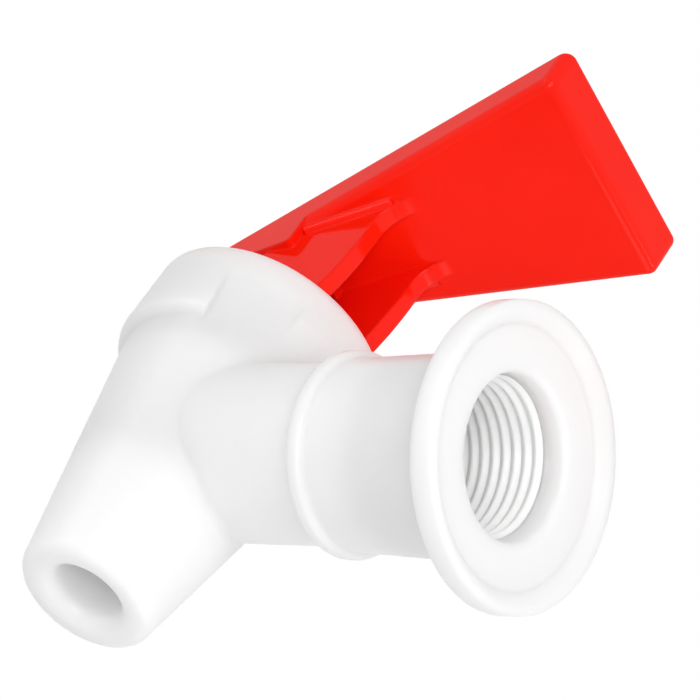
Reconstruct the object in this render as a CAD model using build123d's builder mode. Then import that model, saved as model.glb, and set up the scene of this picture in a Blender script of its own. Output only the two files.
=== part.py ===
from build123d import *
import os
from math import cos, pi, radians, sin, sqrt, tan

# Push-lever tap for a water cooler, in millimetres.
# Origin: centre of the flange rim, where it meets the cooler wall. +Y leaves the inlet, +Z is up.
# The inlet axis is Y. The barrel axis is vertical and stands REACH behind the flange rim.

# Inlet: flange, thread bore, shank, bead and neck, all about the inlet axis
FLANGE_DIA = 33.4
FLANGE_RIM = 3.4          # thickness at the rim
FLANGE_EDGE = 0.6         # rounding of the front edge
FLANGE_BACK_EDGE = 0.9    # rounding of the back edge
RIM_LAND = 0.4            # flat ring that touches the wall
DISH_DIA = 28.4           # recessed middle of the flange face
DISH_DEPTH = 1.42
DISH_STEP = 0.35          # small upright step at the edge of the recess
DISH_STEP_DRAFT = 0.12
FLANGE_FILLET = 1.2       # flange back to shank
MOUTH_DIA = 18.0          # plain lead-in before the thread
MOUTH_DEPTH = 2.2
MOUTH_LIP = 0.8
THREAD_DIA = 17.1         # major diameter of the straight pipe thread
THREAD_CLEARANCE = 0.1
THREAD_LENGTH = 13.2
CHANNEL_DIA = 13.0        # water way from the thread bore to the valve chamber
SHANK_FLANGE_DIA = 22.7   # the shank tapers from the flange to the bead
SHANK_BEAD_DIA = 21.1
BEAD_DISTANCE = 22.9      # bead centre behind the flange rim
BEAD_WIDTH = 2.0
BEAD_DIA = 22.8
BEAD_EDGE = 0.8           # rounding towards the neck
BEAD_FACE_EDGE = 0.5      # rounding towards the shank
BEAD_ROOT = 0.3           # hollow corners on both sides of the bead
NECK_DIA = 20.0
NECK_FILLET = 1.0         # neck to barrel

# Barrel, spout and head, about the barrel axis
REACH = 46.7
SPOUT_DROP = 23.7         # spout end below the inlet axis
SPOUT_DIA = 15.9
SPOUT_EDGE = 1.4
OUTLET_DIA = 8.2
OUTLET_LIP = 2.1          # bell mouth of the spout hole
HEAD_RISE = 18.85         # head rim above the inlet axis
HEAD_DIA = 29.1
HEAD_RIM_EDGE = 0.5
HEAD_MEET = 15.6          # the cone of the barrel reaches the head's full width here
BAND_RISE = 8.75          # lower edge of the raised band round the back and sides of the head
BAND_BLEND = 0.9          # the edge leaves the cone this far below, in a soft S
BAND_SINK = 0.03          # and starts this far inside the cone
BAND_START = 17.0         # azimuth of the band's ends, degrees from +X towards the inlet
PAD_START = 55.0          # azimuth of the low pad over the inlet
PAD_RISE = 10.8           # the pad leaves the cone here
PAD_FULL = 13.6           # and reaches the head's full width here
HEAD_BORE_DIA = 23.2
LEDGE_RISE = 7.5          # ledge that carries the rim of the seat cup
CHAMBER_DIA = 17.2
FLOOR_DROP = 7.5          # chamber floor below the inlet axis
SEAT_HEIGHT = 0.8         # raised seat ring round the outlet
SEAT_WIDTH = 1.1
SNAP_RISE = 13.6          # snap bead that holds the bonnet
SNAP_HEIGHT = 1.6
SNAP_DEPTH = 0.45

# Bonnet: insert in the head that guides the stem
BONNET_CLEARANCE = 0.05
BONNET_EDGE = 0.4
BONNET_ROOF = 2.2
GUIDE_BOSS_WALL = 0.85
GUIDE_LENGTH = 5.0
POCKET_DIA = 16.0

# Seat cup: silicone plug with a clamped rim
CUP_RIM = 1.0
CUP_CLEARANCE = 0.05
CUP_DIA = 10.6
CUP_WALL = 1.0
CUP_FLOOR = 1.3
CUP_LIP = 1.1             # ring that grips the barb of the stem
PLUG_DIA = 12.0
PLUG_HEIGHT = 1.5
SEAT_GAP = 0.1

# Stem, pin and spring
STEM_DIA = 8.0
STEM_CLEARANCE = 0.08
STEM_SHAFT_DIA = 5.4
STEM_NECK_DIA = 4.2
BARB_DIA = 6.0
BARB_HEIGHT = 1.2
COLLAR_DIA = 13.4
COLLAR_HEIGHT = 1.3
COLLAR_GAP = 0.3
PIN_DIA = 3.0
PIN_RISE = 7.0            # pin above the bonnet top
PIN_CLEARANCE = 0.05
PIN_SKIN = 0.9            # closed outer wall of the pin's holes in the cheeks
PIN_END_CLEARANCE = 0.1
SPRING_WIRE = 0.7
SPRING_DIA = 11.9         # mean coil diameter
SPRING_TURNS = 4.0
SPRING_GAP = 0.05

# Lever: fan-shaped paddle, hub and two cheeks
LEVER_TURN = -3.7         # degrees about the barrel axis, as it stands at rest
LEVER_RISE = 19.9         # slope of the paddle, degrees
PADDLE_HEIGHT = 37.4      # upper face above the inlet axis, where it crosses the barrel axis
TIP_FORWARD = 34.95       # paddle tip, measured from the barrel axis
TIP_WIDTH = 29.1
TIP_THICKNESS = 6.0       # height of the upright tip face
TIP_CORNER = 1.3
PADDLE_TOP_EDGE = 0.6     # roundings round the upper and lower face
PADDLE_UNDER_EDGE = 1.2
HUB_BACK = 14.5           # rear end of the hub, behind the barrel axis
HUB_FRONT = 1.2
HUB_WIDTH = 13.5          # width of the fan where it crosses the barrel axis
HUB_DROP = 2.75           # hub underside below the paddle's lower face, at the barrel axis
HUB_EDGE = 0.8
HUB_CORNER = 2.0
CHEEK_GAP = 7.2
CHEEK_WALL = 2.15
CHEEK_FRONT = 11.0        # most forward point of the cheeks, below their flare
CHEEK_FLARE = 5.0         # radius from the front edge to the paddle
CHEEK_BACK = 3.0
CHEEK_HEEL_EDGE = 1.5
CHEEK_FILLET = 0.8        # fillet along the outer roots, and its forward end
CHEEK_FILLET_END = 12.05
CHEEK_SIDE_CLEARANCE = 0.15
HEEL_OFFSET = 6.0         # lift per radian of press
HEEL_CLEARANCE = 0.1
PRESS_ANGLE = 22.0        # full press, degrees
HEAD_SWING = 0.6          # room round the stem head

# Derived positions
BARREL_SECTION = Plane.XZ.offset(REACH)
BARREL_AXIS = Axis((0, -REACH, 0), (0, 0, 1))
flange_r = FLANGE_DIA / 2
neck_r = NECK_DIA / 2
bead_r = BEAD_DIA / 2
mouth_r = MOUTH_DIA / 2
bore_r = THREAD_DIA / 2 + THREAD_CLEARANCE
channel_r = CHANNEL_DIA / 2
mouth_end = DISH_DEPTH + MOUTH_DEPTH
bore_end = mouth_end + THREAD_LENGTH
head_r = HEAD_DIA / 2
head_bore_r = HEAD_BORE_DIA / 2
barrel_slope = (head_r - SPOUT_DIA / 2) / (HEAD_MEET + SPOUT_DROP)
chamber_r = CHAMBER_DIA / 2
outlet_r = OUTLET_DIA / 2
seat_top = SEAT_HEIGHT - FLOOR_DROP
bonnet_bottom = LEDGE_RISE + CUP_RIM
bonnet_r = head_bore_r - BONNET_CLEARANCE
guide_r = STEM_DIA / 2 + STEM_CLEARANCE
boss_r = guide_r + GUIDE_BOSS_WALL
pocket_top = HEAD_RISE - BONNET_ROOF
pin_height = HEAD_RISE + PIN_RISE
press = radians(PRESS_ANGLE)
full_lift = HEEL_OFFSET * press

# The lever's own directions: side to side, and forward over the inlet
turn = radians(LEVER_TURN)
lever_right = (cos(turn), sin(turn), 0)
lever_forward = (-sin(turn), cos(turn), 0)
LEVER_PLAN = Plane(origin=(0, -REACH, 0), x_dir=lever_right, z_dir=(0, 0, 1))
LEVER_SIDE = Plane(origin=(0, -REACH, 0), x_dir=lever_forward, z_dir=lever_right)


def corner(sketch, x, y):
    """The vertex of a flat profile nearest to a point."""
    return sketch.vertices().sort_by_distance(Vector(x, y))[0]


def cone_r(height):
    """Radius of the barrel's cone at a height above the inlet axis."""
    return SPOUT_DIA / 2 + (height + SPOUT_DROP) * barrel_slope


def meridian(azimuth):
    """Half plane through the barrel axis at an azimuth in degrees."""
    a = radians(azimuth)
    return Plane(origin=(0, -REACH, 0), x_dir=(cos(a), sin(a), 0), z_dir=(sin(a), -cos(a), 0))


# Tap body
band_start = BAND_RISE - BAND_BLEND
band_full = BAND_RISE + head_r - cone_r(BAND_RISE)
bead_back = -BEAD_DISTANCE - BEAD_WIDTH / 2
bead_face = -BEAD_DISTANCE + BEAD_WIDTH / 2
land_r = flange_r - FLANGE_EDGE - RIM_LAND
dish_r = DISH_DIA / 2
channel_end = -REACH + sqrt(chamber_r**2 - channel_r**2)

with BuildPart() as tap_body:
    # Cone from the spout up to the straight rim of the head
    with BuildSketch(BARREL_SECTION) as barrel_profile:
        with BuildLine():
            Polyline(
                (0, HEAD_RISE),
                (0, -SPOUT_DROP),
                (SPOUT_DIA / 2, -SPOUT_DROP),
                (head_r, HEAD_MEET),
                (head_r, HEAD_RISE),
                close=True,
            )
        make_face()
        fillet(corner(barrel_profile, SPOUT_DIA / 2, -SPOUT_DROP), SPOUT_EDGE)
        fillet(corner(barrel_profile, head_r, HEAD_RISE), HEAD_RIM_EDGE)
    revolve(axis=BARREL_AXIS)

    # Neck, bead, tapering shank and dished flange
    with BuildSketch(Plane.YZ) as inlet_profile:
        with BuildLine():
            Polyline(
                (-REACH, 0),
                (-REACH, neck_r),
                (bead_back, neck_r),
                (bead_back, bead_r),
                (bead_face, bead_r),
                (bead_face, SHANK_BEAD_DIA / 2),
                (-FLANGE_RIM, SHANK_FLANGE_DIA / 2),
                (-FLANGE_RIM, flange_r),
                (0, flange_r),
                (0, land_r),
                (DISH_STEP - DISH_DEPTH, dish_r + DISH_STEP_DRAFT),
                (-DISH_DEPTH, dish_r),
                (-DISH_DEPTH, 0),
                close=True,
            )
        make_face()
        fillet(corner(inlet_profile, bead_back, bead_r), BEAD_EDGE)
        fillet(corner(inlet_profile, bead_face, bead_r), BEAD_FACE_EDGE)
        fillet(corner(inlet_profile, bead_back, neck_r), BEAD_ROOT)
        fillet(corner(inlet_profile, bead_face, SHANK_BEAD_DIA / 2), BEAD_ROOT)
        fillet(corner(inlet_profile, -FLANGE_RIM, SHANK_FLANGE_DIA / 2), FLANGE_FILLET)
        fillet(corner(inlet_profile, -FLANGE_RIM, flange_r), FLANGE_BACK_EDGE)
        fillet(corner(inlet_profile, 0, flange_r), FLANGE_EDGE)
    revolve(axis=Axis.Y)
    crossing = tap_body.edges().filter_by(lambda edge: edge.geom_type not in (GeomType.LINE, GeomType.CIRCLE))
    fillet(crossing, NECK_FILLET)

    # Raised band round the back and sides of the head, with a soft lower edge
    with BuildSketch(meridian(180 - BAND_START)):
        with BuildLine():
            Polyline(
                (head_r, band_full),
                (head_r, HEAD_MEET + HEAD_RIM_EDGE),
                (head_bore_r, HEAD_MEET + HEAD_RIM_EDGE),
                (head_bore_r, band_start),
                (cone_r(band_start) - BAND_SINK, band_start),
            )
            Bezier(
                (cone_r(band_start) - BAND_SINK, band_start),
                (cone_r(BAND_RISE), BAND_RISE),
                (head_r, BAND_RISE),
                (head_r, band_full),
            )
        make_face()
    revolve(axis=BARREL_AXIS, revolution_arc=180 + 2 * BAND_START)

    # Low pad on the head over the inlet
    with BuildSketch(meridian(PAD_START)):
        with BuildLine():
            Polyline(
                (cone_r(PAD_RISE), PAD_RISE),
                (head_r, PAD_FULL),
                (head_r, HEAD_MEET + HEAD_RIM_EDGE),
                (head_bore_r, HEAD_MEET + HEAD_RIM_EDGE),
                (head_bore_r, PAD_RISE),
                close=True,
            )
        make_face()
    revolve(axis=BARREL_AXIS, revolution_arc=180 - 2 * PAD_START)

    # Head bore with its snap groove, valve chamber, seat ring and bell-mouthed outlet
    with BuildSketch(BARREL_SECTION):
        with BuildLine():
            Polyline(
                (outlet_r + OUTLET_LIP, -SPOUT_DROP),
                (outlet_r + OUTLET_LIP, -SPOUT_DROP - OUTLET_LIP),
                (0, -SPOUT_DROP - OUTLET_LIP),
                (0, HEAD_RISE + HEAD_RIM_EDGE),
                (head_bore_r, HEAD_RISE + HEAD_RIM_EDGE),
                (head_bore_r, SNAP_RISE + SNAP_HEIGHT / 2),
                (head_bore_r + SNAP_DEPTH, SNAP_RISE + SNAP_HEIGHT / 4),
                (head_bore_r + SNAP_DEPTH, SNAP_RISE - SNAP_HEIGHT / 4),
                (head_bore_r, SNAP_RISE - SNAP_HEIGHT / 2),
                (head_bore_r, LEDGE_RISE),
                (chamber_r, LEDGE_RISE),
                (chamber_r, -FLOOR_DROP),
                (outlet_r + SEAT_WIDTH, -FLOOR_DROP),
                (outlet_r + SEAT_WIDTH, seat_top),
                (outlet_r, seat_top),
                (outlet_r, OUTLET_LIP - SPOUT_DROP),
            )
            CenterArc((outlet_r + OUTLET_LIP, OUTLET_LIP - SPOUT_DROP), OUTLET_LIP, 180, 90)
        make_face()
    revolve(axis=BARREL_AXIS, mode=Mode.SUBTRACT)

    # Lead-in, thread bore and water way
    with BuildSketch(Plane.YZ):
        with BuildLine():
            Polyline(
                (-DISH_DEPTH, mouth_r + MOUTH_LIP),
                (0, mouth_r + MOUTH_LIP),
                (0, 0),
                (channel_end, 0),
                (channel_end, channel_r),
                (-bore_end, channel_r),
                (-bore_end, bore_r),
                (bore_r - mouth_r - mouth_end, bore_r),
                (-mouth_end, mouth_r),
                (-DISH_DEPTH - MOUTH_LIP, mouth_r),
            )
            CenterArc((-DISH_DEPTH - MOUTH_LIP, mouth_r + MOUTH_LIP), MOUTH_LIP, 270, 90)
        make_face()
    revolve(axis=Axis.Y, mode=Mode.SUBTRACT)

# Bonnet
with BuildPart() as bonnet:
    with BuildSketch(BARREL_SECTION) as bonnet_profile:
        with BuildLine():
            Polyline(
                (guide_r, HEAD_RISE),
                (bonnet_r, HEAD_RISE),
                (bonnet_r, SNAP_RISE + SNAP_HEIGHT / 2),
                (bonnet_r + SNAP_DEPTH, SNAP_RISE + SNAP_HEIGHT / 4),
                (bonnet_r + SNAP_DEPTH, SNAP_RISE - SNAP_HEIGHT / 4),
                (bonnet_r, SNAP_RISE - SNAP_HEIGHT / 2),
                (bonnet_r, bonnet_bottom),
                (POCKET_DIA / 2, bonnet_bottom),
                (POCKET_DIA / 2, pocket_top),
                (boss_r, pocket_top),
                (boss_r, HEAD_RISE - GUIDE_LENGTH),
                (guide_r, HEAD_RISE - GUIDE_LENGTH),
                close=True,
            )
        make_face()
        chamfer(corner(bonnet_profile, bonnet_r, HEAD_RISE), BONNET_EDGE)
    revolve(axis=BARREL_AXIS)

# Seat cup
cup_bottom = seat_top + SEAT_GAP
barb_floor = cup_bottom + CUP_FLOOR
barb_roof = barb_floor + BARB_HEIGHT + 2 * CUP_CLEARANCE
cup_r = CUP_DIA / 2
with BuildPart() as seat_cup:
    with BuildSketch(BARREL_SECTION):
        with BuildLine():
            Polyline(
                (0, cup_bottom),
                (PLUG_DIA / 2, cup_bottom),
                (PLUG_DIA / 2, cup_bottom + PLUG_HEIGHT),
                (cup_r, cup_bottom + 2 * PLUG_HEIGHT),
                (cup_r, LEDGE_RISE + CUP_CLEARANCE),
                (bonnet_r, LEDGE_RISE + CUP_CLEARANCE),
                (bonnet_r, bonnet_bottom - CUP_CLEARANCE),
                (cup_r - CUP_WALL, bonnet_bottom - CUP_CLEARANCE),
                (cup_r - CUP_WALL, barb_roof + CUP_LIP),
                (STEM_NECK_DIA / 2 + CUP_CLEARANCE, barb_roof + CUP_LIP),
                (STEM_NECK_DIA / 2 + CUP_CLEARANCE, barb_roof),
                (BARB_DIA / 2 + CUP_CLEARANCE, barb_roof),
                (BARB_DIA / 2 + CUP_CLEARANCE, barb_floor),
                (0, barb_floor),
                close=True,
            )
        make_face()
    revolve(axis=BARREL_AXIS)

# Valve stem
barb_bottom = barb_floor + CUP_CLEARANCE
shaft_bottom = barb_roof + CUP_LIP + CUP_CLEARANCE
collar_bottom = bonnet_bottom + COLLAR_GAP
collar_top = collar_bottom + COLLAR_HEIGHT
flat_bottom = pin_height - PIN_RISE - full_lift - HEAD_SWING
flat_x = CHEEK_GAP / 2 - CHEEK_SIDE_CLEARANCE
with BuildPart() as valve_stem:
    with BuildSketch(BARREL_SECTION):
        with BuildLine():
            Polyline(
                (0, pin_height + STEM_DIA / 2),
                (0, barb_bottom),
                (BARB_DIA / 2 - BARB_HEIGHT / 2, barb_bottom),
                (BARB_DIA / 2, barb_bottom + BARB_HEIGHT / 2),
                (BARB_DIA / 2, barb_bottom + BARB_HEIGHT),
                (STEM_NECK_DIA / 2, barb_bottom + BARB_HEIGHT),
                (STEM_NECK_DIA / 2, shaft_bottom),
                (STEM_SHAFT_DIA / 2, shaft_bottom),
                (STEM_SHAFT_DIA / 2, collar_bottom),
                (COLLAR_DIA / 2, collar_bottom),
                (COLLAR_DIA / 2, collar_top),
                (STEM_DIA / 2, collar_top),
                (STEM_DIA / 2, pin_height),
            )
            CenterArc((0, pin_height), STEM_DIA / 2, 0, 90)
        make_face()
    revolve(axis=BARREL_AXIS)
    # Flats that slide between the cheeks
    with BuildSketch(LEVER_PLAN.offset(flat_bottom)):
        with GridLocations(2 * flat_x + STEM_DIA, 0, 2, 1):
            Rectangle(STEM_DIA, 2 * STEM_DIA)
    extrude(amount=pin_height + STEM_DIA - flat_bottom, mode=Mode.SUBTRACT)
    with BuildSketch(LEVER_SIDE):
        with Locations((0, pin_height)):
            Circle(PIN_DIA / 2 + PIN_CLEARANCE)
    extrude(amount=STEM_DIA, both=True, mode=Mode.SUBTRACT)

# Spring between the bonnet roof and the collar
spring_bottom = collar_top + SPRING_GAP + SPRING_WIRE / 2
spring_top = pocket_top - SPRING_GAP - SPRING_WIRE / 2
spring_height = spring_top - spring_bottom
with BuildPart() as stem_spring:
    with BuildLine() as coil:
        Helix(
            pitch=spring_height / SPRING_TURNS,
            height=spring_height,
            radius=SPRING_DIA / 2,
            center=(0, -REACH, spring_bottom),
        )
    with BuildSketch(Plane(origin=coil.line @ 0, z_dir=coil.line % 0)):
        Circle(SPRING_WIRE / 2)
    sweep(path=coil.line, is_frenet=True)

# Cross pin
cheek_out = CHEEK_GAP / 2 + CHEEK_WALL
pin_hole_end = cheek_out - PIN_SKIN
with BuildPart() as pivot_pin:
    with BuildSketch(LEVER_SIDE):
        with Locations((0, pin_height)):
            Circle(PIN_DIA / 2)
    extrude(amount=pin_hole_end - PIN_END_CLEARANCE, both=True)

# Lever
slope = tan(radians(LEVER_RISE))
fan_slope = (TIP_WIDTH - HUB_WIDTH) / 2 / TIP_FORWARD


def paddle_top(forward):
    """Height of the paddle's upper face at a distance in front of the barrel axis."""
    return PADDLE_HEIGHT + forward * slope


def paddle_under(forward):
    """Height of the paddle's lower face."""
    return paddle_top(forward) - TIP_THICKNESS


def fan_half(forward):
    """Half width of the fan."""
    return HUB_WIDTH / 2 + forward * fan_slope


def heel(angle):
    """Point of the cheek's heel that touches the bonnet after a press by an angle in radians.

    The distance from the pin to the bonnet grows evenly with the angle, so the heel is an involute.
    """
    reach_down = PIN_RISE - HEEL_CLEARANCE + HEEL_OFFSET * angle
    forward = reach_down * sin(angle) + HEEL_OFFSET * cos(angle)
    drop = reach_down * cos(angle) - HEEL_OFFSET * sin(angle)
    return forward, pin_height - drop


# Plane square to the paddle where its lower face meets the hub, its y axis pointing down
CHEEK_ROOT = Plane(
    origin=LEVER_PLAN.from_local_coords((0, HUB_FRONT, paddle_under(HUB_FRONT))),
    x_dir=lever_right,
    z_dir=(lever_forward[0], lever_forward[1], slope),
)
hub_bottom = paddle_under(0) - HUB_DROP
cheek_bottom = HEAD_RISE + HEEL_CLEARANCE
heel_points = [heel(press * step / 6) for step in range(7)]
heel_end = heel_points[-1]
# The flare touches the upright front edge and the paddle's lower face
rise = radians(LEVER_RISE)
flare_centre = (CHEEK_FRONT + CHEEK_FLARE, paddle_under(CHEEK_FRONT + CHEEK_FLARE) - CHEEK_FLARE / cos(rise))
flare_start = (CHEEK_FRONT, flare_centre[1])
flare_end = (flare_centre[0] - CHEEK_FLARE * sin(rise), flare_centre[1] + CHEEK_FLARE * cos(rise))
with BuildPart() as lever:
    # Fan in plan, cut to the side view of paddle and hub
    with BuildSketch(LEVER_PLAN.offset(hub_bottom)) as fan:
        with BuildLine():
            Polyline(
                (-fan_half(-HUB_BACK), -HUB_BACK),
                (fan_half(-HUB_BACK), -HUB_BACK),
                (fan_half(TIP_FORWARD), TIP_FORWARD),
                (-fan_half(TIP_FORWARD), TIP_FORWARD),
                close=True,
            )
        make_face()
        fillet(fan.vertices().group_by(Axis.Y)[-1], TIP_CORNER)
        fillet(fan.vertices().group_by(Axis.Y)[0], HUB_CORNER)
    extrude(amount=paddle_top(TIP_FORWARD) - hub_bottom)
    with BuildSketch(LEVER_SIDE) as side_view:
        with BuildLine():
            Polyline(
                (-HUB_BACK, hub_bottom),
                (HUB_FRONT, hub_bottom),
                (HUB_FRONT, paddle_under(HUB_FRONT)),
                (TIP_FORWARD, paddle_under(TIP_FORWARD)),
                (TIP_FORWARD, paddle_top(TIP_FORWARD)),
                (-HUB_BACK, paddle_top(-HUB_BACK)),
                close=True,
            )
        make_face()
        fillet(corner(side_view, HUB_FRONT, hub_bottom), HUB_EDGE)
    extrude(amount=TIP_WIDTH, both=True, mode=Mode.INTERSECT)
    under_face = lever.faces().filter_by(lambda face: face.normal_at().Z < -0.5).sort_by(SortBy.AREA)[-1]
    hub_line = under_face.edges().sort_by(Axis.Z)[0]
    fillet(under_face.edges().filter_by(lambda edge: not edge.is_same(hub_line)), PADDLE_UNDER_EDGE)
    upper_face = lever.faces().filter_by(lambda face: face.normal_at().Z > 0.5).sort_by(SortBy.AREA)[-1]
    fillet(upper_face.edges(), PADDLE_TOP_EDGE)

    # Cheeks: a block with involute heels, then the channel between them
    with BuildSketch(LEVER_SIDE) as cheek_side:
        with BuildLine():
            Spline(heel_points, tangents=((1, 0), (cos(press), sin(press))))
            TangentArc(flare_start, heel_end, tangent=(0, -1))
            RadiusArc(flare_start, flare_end, CHEEK_FLARE)
            Polyline(
                flare_end,
                (flare_end[0], flare_end[1] + HUB_EDGE),
                (-CHEEK_BACK, hub_bottom + HUB_EDGE),
                (-CHEEK_BACK, cheek_bottom),
                heel_points[0],
            )
        make_face()
        fillet(corner(cheek_side, -CHEEK_BACK, cheek_bottom), CHEEK_HEEL_EDGE)
    extrude(amount=cheek_out, both=True)
    # Round fillets along the cheeks' outer roots, from the hub to their front edge
    for side in (-1, 1):
        with BuildSketch(CHEEK_ROOT):
            with BuildLine():
                Polyline(
                    (side * cheek_out, CHEEK_FILLET),
                    (side * CHEEK_GAP / 2, CHEEK_FILLET),
                    (side * CHEEK_GAP / 2, -CHEEK_FILLET),
                    (side * (cheek_out + CHEEK_FILLET), -CHEEK_FILLET),
                    (side * (cheek_out + CHEEK_FILLET), 0),
                )
                RadiusArc(
                    (side * cheek_out, CHEEK_FILLET),
                    (side * (cheek_out + CHEEK_FILLET), 0),
                    side * CHEEK_FILLET,
                )
            make_face()
        extrude(amount=(CHEEK_FILLET_END - HUB_FRONT) / cos(rise))
    with BuildSketch(LEVER_SIDE):
        with BuildLine():
            Polyline(
                (-STEM_DIA, cheek_bottom - HUB_EDGE),
                (TIP_FORWARD, cheek_bottom - HUB_EDGE),
                (TIP_FORWARD, paddle_under(TIP_FORWARD)),
                (HUB_FRONT, paddle_under(HUB_FRONT)),
                (HUB_FRONT, hub_bottom),
                (-STEM_DIA, hub_bottom),
                close=True,
            )
        make_face()
        with Locations((0, pin_height)):
            Circle(STEM_DIA / 2 + HEAD_SWING)
    extrude(amount=CHEEK_GAP / 2, both=True, mode=Mode.SUBTRACT)
    with BuildSketch(LEVER_SIDE):
        with Locations((0, pin_height)):
            Circle(PIN_DIA / 2 + PIN_CLEARANCE)
    extrude(amount=pin_hole_end, both=True, mode=Mode.SUBTRACT)

# Labels and files
os.makedirs("parts", exist_ok=True)
pieces = {
    "tap_body": tap_body,
    "bonnet": bonnet,
    "seat_cup": seat_cup,
    "valve_stem": valve_stem,
    "stem_spring": stem_spring,
    "pivot_pin": pivot_pin,
    "lever": lever,
}
for name, piece in pieces.items():
    piece.part.label = name
    export_step(piece.part, f"parts/{name}.step")
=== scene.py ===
import math

import bmesh
import bpy
from mathutils import Matrix, Vector


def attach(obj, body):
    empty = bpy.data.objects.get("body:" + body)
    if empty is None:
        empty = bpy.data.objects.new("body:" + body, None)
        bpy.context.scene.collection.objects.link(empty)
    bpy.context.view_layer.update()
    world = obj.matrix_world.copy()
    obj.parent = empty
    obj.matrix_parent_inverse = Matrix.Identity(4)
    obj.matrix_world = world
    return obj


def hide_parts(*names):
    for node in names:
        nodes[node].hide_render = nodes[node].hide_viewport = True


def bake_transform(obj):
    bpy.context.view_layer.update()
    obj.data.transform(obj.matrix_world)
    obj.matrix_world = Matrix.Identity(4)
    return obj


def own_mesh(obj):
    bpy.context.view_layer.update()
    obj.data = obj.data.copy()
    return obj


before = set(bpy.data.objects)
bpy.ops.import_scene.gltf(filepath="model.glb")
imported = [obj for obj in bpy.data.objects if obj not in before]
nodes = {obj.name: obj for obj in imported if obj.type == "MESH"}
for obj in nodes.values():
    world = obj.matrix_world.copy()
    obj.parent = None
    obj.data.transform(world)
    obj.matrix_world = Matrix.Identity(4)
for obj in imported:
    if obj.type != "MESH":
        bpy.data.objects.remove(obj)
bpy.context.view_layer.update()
MM = 0.001

# Sizes shared with the solids, in millimetres
BORE_R = 8.65             # plain bore that carries the thread
BORE_START = -3.97
BORE_END = -16.82

# Internal thread, in millimetres unless another unit is named
THREAD_PITCH = 1.411
THREAD_CREST_R = 8.20
THREAD_LINING = 0.03      # between ridges it covers the bore wall by this much
THREAD_SKIRT = 0.05       # its two edges reach this far into the wall
THREAD_INSET = 0.3        # from each end of the bore, in pitches
THREAD_RUN_OUT = 0.35     # the ridge rises from the wall over this part of a turn
THREAD_LEAST_RISE = 0.02  # share of the full height at its very ends
THREAD_STEPS = 96         # per turn
THREAD_POINTS = 13        # across the ridge

# Noise scales, in cycles per metre
FLOW_SCALE = 90           # flow marks in the colour of moulded plastic
WAVE_SCALE = 110          # slow waviness of its surface
SKIN_SCALE = 900          # uneven gloss
GRAIN_SCALE = 2600        # fine grain
CLOUD_SCALE = 140         # cloudy silicone
MATT_SCALE = 700          # its uneven gloss
PORE_SCALE = 1800         # its fine grain
STREAK_SCALE = 700        # drawing marks on wire

# Plastic
PLASTIC_IOR = 1.5
COAT_ROUGHNESS = 0.11
GLOSS_SPREAD = 0.05       # roughness varies by this much either way
BODY_SCATTER = 0.005      # metres that light travels inside the white plastic
SILICONE_SCATTER = 0.002


# Materials

def new_material(name):
    mat = bpy.data.materials.new(name)
    mat.use_nodes = True
    tree = mat.node_tree
    tree.nodes.clear()
    out = tree.nodes.new("ShaderNodeOutputMaterial")
    shader = tree.nodes.new("ShaderNodeBsdfPrincipled")
    tree.links.new(shader.outputs["BSDF"], out.inputs["Surface"])
    return mat, tree, shader


def noise(tree, scale, detail=2.0, rough=0.5, stretch=(1, 1, 1)):
    """Noise in object space, where one unit of scale is one cycle per metre."""
    coord = tree.nodes.new("ShaderNodeTexCoord")
    mapping = tree.nodes.new("ShaderNodeMapping")
    mapping.inputs["Scale"].default_value = stretch
    tex = tree.nodes.new("ShaderNodeTexNoise")
    tex.inputs["Scale"].default_value = scale
    tex.inputs["Detail"].default_value = detail
    tex.inputs["Roughness"].default_value = rough
    tree.links.new(coord.outputs["Object"], mapping.inputs["Vector"])
    tree.links.new(mapping.outputs["Vector"], tex.inputs["Vector"])
    return tex.outputs["Fac"]


def ramp(tree, fac, low, high, start=0.3, end=0.7):
    """Blend of two colours over the middle of a noise."""
    node = tree.nodes.new("ShaderNodeValToRGB")
    node.color_ramp.elements[0].position = start
    node.color_ramp.elements[0].color = low
    node.color_ramp.elements[1].position = end
    node.color_ramp.elements[1].color = high
    tree.links.new(fac, node.inputs["Fac"])
    return node.outputs["Color"]


def level(tree, fac, low, high):
    node = tree.nodes.new("ShaderNodeMapRange")
    node.inputs["To Min"].default_value = low
    node.inputs["To Max"].default_value = high
    tree.links.new(fac, node.inputs["Value"])
    return node.outputs["Result"]


def bumped(tree, height, strength, depth_mm, normal=None):
    """Normal roughened by a height, on top of another normal where one is given."""
    node = tree.nodes.new("ShaderNodeBump")
    node.inputs["Strength"].default_value = strength
    node.inputs["Distance"].default_value = depth_mm * MM
    tree.links.new(height, node.inputs["Height"])
    if normal:
        tree.links.new(normal, node.inputs["Normal"])
    return node.outputs["Normal"]


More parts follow.
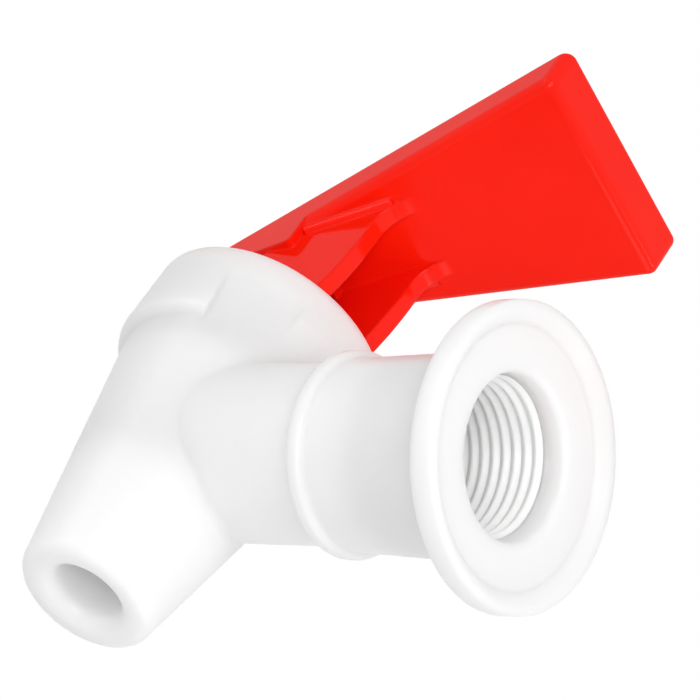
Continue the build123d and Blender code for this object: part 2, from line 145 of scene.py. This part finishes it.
def moulded_plastic(name, low, high, rough, edge_mm, specular=0.5, subsurface=0.0, coat=0.0):
    """Moulded plastic: faint flow marks in the colour, a fine skin, softly rounded edges."""
    mat, tree, shader = new_material(name)
    flow = noise(tree, FLOW_SCALE, 3, 0.5, (1, 1, 0.45))
    tree.links.new(ramp(tree, flow, low, high), shader.inputs["Base Color"])
    skin = noise(tree, SKIN_SCALE, 3, 0.6)
    gloss = level(tree, skin, rough - GLOSS_SPREAD, rough + GLOSS_SPREAD)
    tree.links.new(gloss, shader.inputs["Roughness"])
    bevel = tree.nodes.new("ShaderNodeBevel")
    bevel.samples = 8
    bevel.inputs["Radius"].default_value = edge_mm * MM
    wave = bumped(tree, noise(tree, WAVE_SCALE, 1, 0.4), 0.25, 0.12, bevel.outputs["Normal"])
    grain = bumped(tree, noise(tree, GRAIN_SCALE, 2, 0.5), 0.12, 0.02, wave)
    tree.links.new(grain, shader.inputs["Normal"])
    tree.links.new(grain, shader.inputs["Coat Normal"])
    shader.inputs["Specular IOR Level"].default_value = specular
    shader.inputs["IOR"].default_value = PLASTIC_IOR
    if coat:
        shader.inputs["Coat Weight"].default_value = coat
        shader.inputs["Coat Roughness"].default_value = COAT_ROUGHNESS
        shader.inputs["Coat IOR"].default_value = PLASTIC_IOR
    if subsurface:
        shader.inputs["Subsurface Weight"].default_value = subsurface
        shader.inputs["Subsurface Radius"].default_value = (1, 1, 1)
        shader.inputs["Subsurface Scale"].default_value = BODY_SCATTER
    return mat


def silicone():
    mat, tree, shader = new_material("silicone")
    cloud = noise(tree, CLOUD_SCALE, 3)
    colour = ramp(tree, cloud, (0.70, 0.70, 0.68, 1), (0.78, 0.78, 0.76, 1))
    tree.links.new(colour, shader.inputs["Base Color"])
    tree.links.new(level(tree, noise(tree, MATT_SCALE, 3), 0.5, 0.65), shader.inputs["Roughness"])
    tree.links.new(bumped(tree, noise(tree, PORE_SCALE, 3), 0.2, 0.03), shader.inputs["Normal"])
    shader.inputs["Subsurface Weight"].default_value = 0.3
    shader.inputs["Subsurface Scale"].default_value = SILICONE_SCATTER
    return mat


def steel():
    mat, tree, shader = new_material("drawn_steel")
    streak = noise(tree, STREAK_SCALE, 4, 0.6, (0.15, 1, 1))
    colour = ramp(tree, streak, (0.52, 0.52, 0.53, 1), (0.68, 0.68, 0.69, 1))
    tree.links.new(colour, shader.inputs["Base Color"])
    tree.links.new(level(tree, streak, 0.22, 0.38), shader.inputs["Roughness"])
    tree.links.new(bumped(tree, streak, 0.15, 0.01), shader.inputs["Normal"])
    shader.inputs["Metallic"].default_value = 1.0
    return mat


white = moulded_plastic(
    "white_plastic", (0.885, 0.885, 0.882, 1), (0.905, 0.905, 0.902, 1),
    rough=0.34, edge_mm=0.9, subsurface=1.0)
# The thread is the body's own white plastic, painted paler than it (0.965-0.98 against 0.885-0.905):
# painted light that brightens the shade inside the bore.
thread_painted_lighter = moulded_plastic(
    "white_thread_painted_light", (0.965, 0.965, 0.962, 1), (0.98, 0.98, 0.977, 1),
    rough=0.34, edge_mm=0.15)
insert = moulded_plastic(
    "white_insert", (0.80, 0.80, 0.79, 1), (0.83, 0.83, 0.82, 1),
    rough=0.42, edge_mm=0.25)
red = moulded_plastic(
    "red_plastic", (0.93, 0.010, 0.002, 1), (0.96, 0.013, 0.003, 1),
    rough=0.20, edge_mm=0.5, specular=0.0, coat=0.30)

looks = {
    "tap_body": white,
    "bonnet": insert,
    "seat_cup": silicone(),
    "valve_stem": red,
    "stem_spring": steel(),
    "pivot_pin": steel(),
    "lever": red,
}
for name, mat in looks.items():
    mesh = nodes[name].data
    mesh.materials.clear()
    mesh.materials.append(mat)


# Internal thread: one right-hand ridge with a rounded form and tapered run-outs

def thread_section(rise):
    """Points across one turn, as offset along the bore and radius, from skirt to skirt."""
    half = 0.5 * THREAD_PITCH
    depth = BORE_R - THREAD_LINING - THREAD_CREST_R
    section = [(-half, BORE_R + THREAD_SKIRT)]
    for j in range(THREAD_POINTS):
        across = j / (THREAD_POINTS - 1) - 0.5
        height = 0.5 + 0.5 * math.cos(2 * math.pi * across)
        section.append((across * THREAD_PITCH, BORE_R - THREAD_LINING - depth * rise * height))
    section.append((half, BORE_R + THREAD_SKIRT))
    return section


def build_thread():
    turns = (BORE_START - BORE_END - 2 * THREAD_INSET * THREAD_PITCH) / THREAD_PITCH
    count = int(turns * THREAD_STEPS)
    verts = []
    faces = []
    for i in range(count + 1):
        turn = i / THREAD_STEPS
        angle = 2 * math.pi * turn
        along = BORE_START - THREAD_INSET * THREAD_PITCH - turn * THREAD_PITCH
        rise = min(1.0, turn / THREAD_RUN_OUT, (turns - turn) / THREAD_RUN_OUT)
        rise = max(THREAD_LEAST_RISE, rise)
        for offset, radius in thread_section(rise):
            # Seen from outside, moving in along -Y turns clockwise: a right-hand thread
            x = radius * math.cos(angle)
            z = radius * math.sin(angle)
            verts.append((x * MM, (along + offset) * MM, z * MM))
    ring = THREAD_POINTS + 2
    for i in range(count):
        for j in range(ring):
            here = i * ring + j
            beside = i * ring + (j + 1) % ring
            faces.append((here, beside, beside + ring, here + ring))
    faces.append(tuple(range(ring - 1, -1, -1)))
    faces.append(tuple(count * ring + j for j in range(ring)))
    mesh = bpy.data.meshes.new("inlet_thread")
    mesh.from_pydata(verts, [], faces)
    bm = bmesh.new()
    bm.from_mesh(mesh)
    bmesh.ops.recalc_face_normals(bm, faces=bm.faces)
    bm.to_mesh(mesh)
    bm.free()
    # The end caps stay flat
    for poly in mesh.polygons:
        poly.use_smooth = len(poly.vertices) == 4
    piece = bpy.data.objects.new("inlet_thread", mesh)
    bpy.context.scene.collection.objects.link(piece)
    mesh.materials.append(thread_painted_lighter)
    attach(piece, "tap")


build_thread()


# Soft inner pieces, copied whole: the cup and the coil stay put while the stem lifts, the coil with
# the tap


def soft_piece(node, name):
    piece = bpy.data.objects.new(name, nodes[node].data.copy())
    bpy.context.scene.collection.objects.link(piece)
    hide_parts(node)
    return piece


cup = soft_piece("seat_cup", "seat_cup_skin")
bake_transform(cup)
spring = soft_piece("stem_spring", "stem_spring_coil")
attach(spring, "tap")
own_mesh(spring)


# Camera, fitted to the photograph's flange, head and lever: place in millimetres, focus in pixels

PHOTO_WIDTH = 700
SENSOR_WIDTH = 36.0
CAMERA_PIXELS = 4001.1
CAMERA_POS = (232.525, 243.804, -251.144)
CAMERA_RIGHT = Vector((-0.406645, 0.787747, 0.462703))
CAMERA_UP = Vector((0.754156, 0.003583, 0.656686))
CAMERA_BACK = Vector((0.515645, 0.615988, -0.595541))

cam_data = bpy.data.cameras.new("photo_camera")
cam_data.sensor_width = SENSOR_WIDTH
cam_data.lens = CAMERA_PIXELS / PHOTO_WIDTH * SENSOR_WIDTH
cam_data.clip_start = 0.01
cam_data.clip_end = 20.0
cam = bpy.data.objects.new("photo_camera", cam_data)
aim = Matrix((CAMERA_RIGHT, CAMERA_UP, CAMERA_BACK)).transposed().to_4x4()
cam.matrix_world = Matrix.Translation(Vector(CAMERA_POS) * MM) @ aim
bpy.context.scene.collection.objects.link(cam)
bpy.context.scene.camera = cam


# Stage: a pale room, a pale floor below the tap that is seen from above only, and soft lamps

ROOM_FRONT = (0.20, 0.75, -0.63)
ROOM_FRONT_LEVEL = 0.80
ROOM_BACK_LEVEL = 0.48
FLOOR_HEIGHT = -0.40
FLOOR_HALF = 1.2
FLOOR_FADE_START = 0.45
FLOOR_FADE_END = 1.15
FLOOR_PAINT = (0.90, 0.90, 0.90, 1)
LAMP_TARGET = Vector((0.0, -0.028, 0.012))


def maths(tree, operation, first, second):
    node = tree.nodes.new("ShaderNodeMath")
    node.operation = operation
    tree.links.new(first, node.inputs[0])
    tree.links.new(second, node.inputs[1])
    return node.outputs[0]


def build_world():
    """White where it is seen; its light is brighter in front of the tap than behind it."""
    world = bpy.data.worlds.new("studio")
    bpy.context.scene.world = world
    world.use_nodes = True
    tree = world.node_tree
    tree.nodes.clear()
    out = tree.nodes.new("ShaderNodeOutputWorld")
    light = tree.nodes.new("ShaderNodeBackground")
    light.inputs["Color"].default_value = (1, 1, 1, 1)
    coord = tree.nodes.new("ShaderNodeTexCoord")
    facing = tree.nodes.new("ShaderNodeVectorMath")
    facing.operation = "DOT_PRODUCT"
    facing.inputs[1].default_value = ROOM_FRONT
    tree.links.new(coord.outputs["Generated"], facing.inputs[0])
    room = tree.nodes.new("ShaderNodeMapRange")
    room.inputs["From Min"].default_value = -1.0
    room.inputs["From Max"].default_value = 1.0
    room.inputs["To Min"].default_value = ROOM_BACK_LEVEL
    room.inputs["To Max"].default_value = ROOM_FRONT_LEVEL
    tree.links.new(facing.outputs["Value"], room.inputs["Value"])
    path = tree.nodes.new("ShaderNodeLightPath")
    shown = maths(tree, "MAXIMUM", path.outputs["Is Camera Ray"], path.outputs["Is Transmission Ray"])
    shown = maths(tree, "MAXIMUM", shown, path.outputs["Is Glossy Ray"])
    strength = tree.nodes.new("ShaderNodeMix")
    strength.inputs["B"].default_value = 1.0
    tree.links.new(shown, strength.inputs["Factor"])
    tree.links.new(room.outputs["Result"], strength.inputs["A"])
    tree.links.new(strength.outputs["Result"], light.inputs["Strength"])
    tree.links.new(light.outputs[0], out.inputs["Surface"])


def build_floor():
    mesh = bpy.data.meshes.new("floor")
    signs = [(-1, -1), (1, -1), (1, 1), (-1, 1)]
    corners = [(x * FLOOR_HALF, y * FLOOR_HALF, FLOOR_HEIGHT) for x, y in signs]
    mesh.from_pydata(corners, [], [(0, 1, 2, 3)])
    floor = bpy.data.objects.new("floor", mesh)
    bpy.context.scene.collection.objects.link(floor)
    mat = bpy.data.materials.new("floor")
    mat.use_nodes = True
    tree = mat.node_tree
    tree.nodes.clear()
    out = tree.nodes.new("ShaderNodeOutputMaterial")
    paint = tree.nodes.new("ShaderNodeBsdfDiffuse")
    paint.inputs["Color"].default_value = FLOOR_PAINT
    clear = tree.nodes.new("ShaderNodeBsdfTransparent")
    mix = tree.nodes.new("ShaderNodeMixShader")
    geometry = tree.nodes.new("ShaderNodeNewGeometry")
    # The paint thins out with distance, so that the floor has no hard edge
    coord = tree.nodes.new("ShaderNodeTexCoord")
    distance = tree.nodes.new("ShaderNodeVectorMath")
    distance.operation = "LENGTH"
    tree.links.new(coord.outputs["Object"], distance.inputs[0])
    fade = tree.nodes.new("ShaderNodeMapRange")
    fade.interpolation_type = "SMOOTHSTEP"
    fade.inputs["From Min"].default_value = FLOOR_FADE_START
    fade.inputs["From Max"].default_value = FLOOR_FADE_END
    tree.links.new(distance.outputs["Value"], fade.inputs["Value"])
    hidden = maths(tree, "MAXIMUM", geometry.outputs["Backfacing"], fade.outputs["Result"])
    tree.links.new(hidden, mix.inputs["Fac"])
    tree.links.new(paint.outputs[0], mix.inputs[1])
    tree.links.new(clear.outputs[0], mix.inputs[2])
    tree.links.new(mix.outputs[0], out.inputs["Surface"])
    mesh.materials.append(mat)


def area_lamp(name, offset, size, power, height=None):
    """A round soft lamp, or an upright strip where a height is given, in metres and watts."""
    lamp = bpy.data.lights.new(name, "AREA")
    lamp.shape = "DISK"
    lamp.size = size
    if height:
        lamp.shape = "RECTANGLE"
        lamp.size_y = height
    lamp.energy = power
    piece = bpy.data.objects.new(name, lamp)
    piece.location = LAMP_TARGET + offset
    piece.rotation_euler = (-offset).to_track_quat("-Z", "Y").to_euler()
    bpy.context.scene.collection.objects.link(piece)


build_world()
build_floor()
area_lamp("front", Vector((0.36, 0.50, -0.10)), size=0.25, power=0.63)
area_lamp("low_front", Vector((0.275, 0.31, -0.29)), size=0.20, power=0.56)
area_lamp("left", Vector((0.55, -0.23, -0.02)), size=0.05, power=0.38, height=0.45)
area_lamp("right", Vector((-0.31, 0.45, -0.12)), size=0.15, power=0.30)
area_lamp("below", Vector((-0.25, 0.10, -0.27)), size=0.20, power=0.16)

bpy.context.scene.view_settings.view_transform = "Standard"
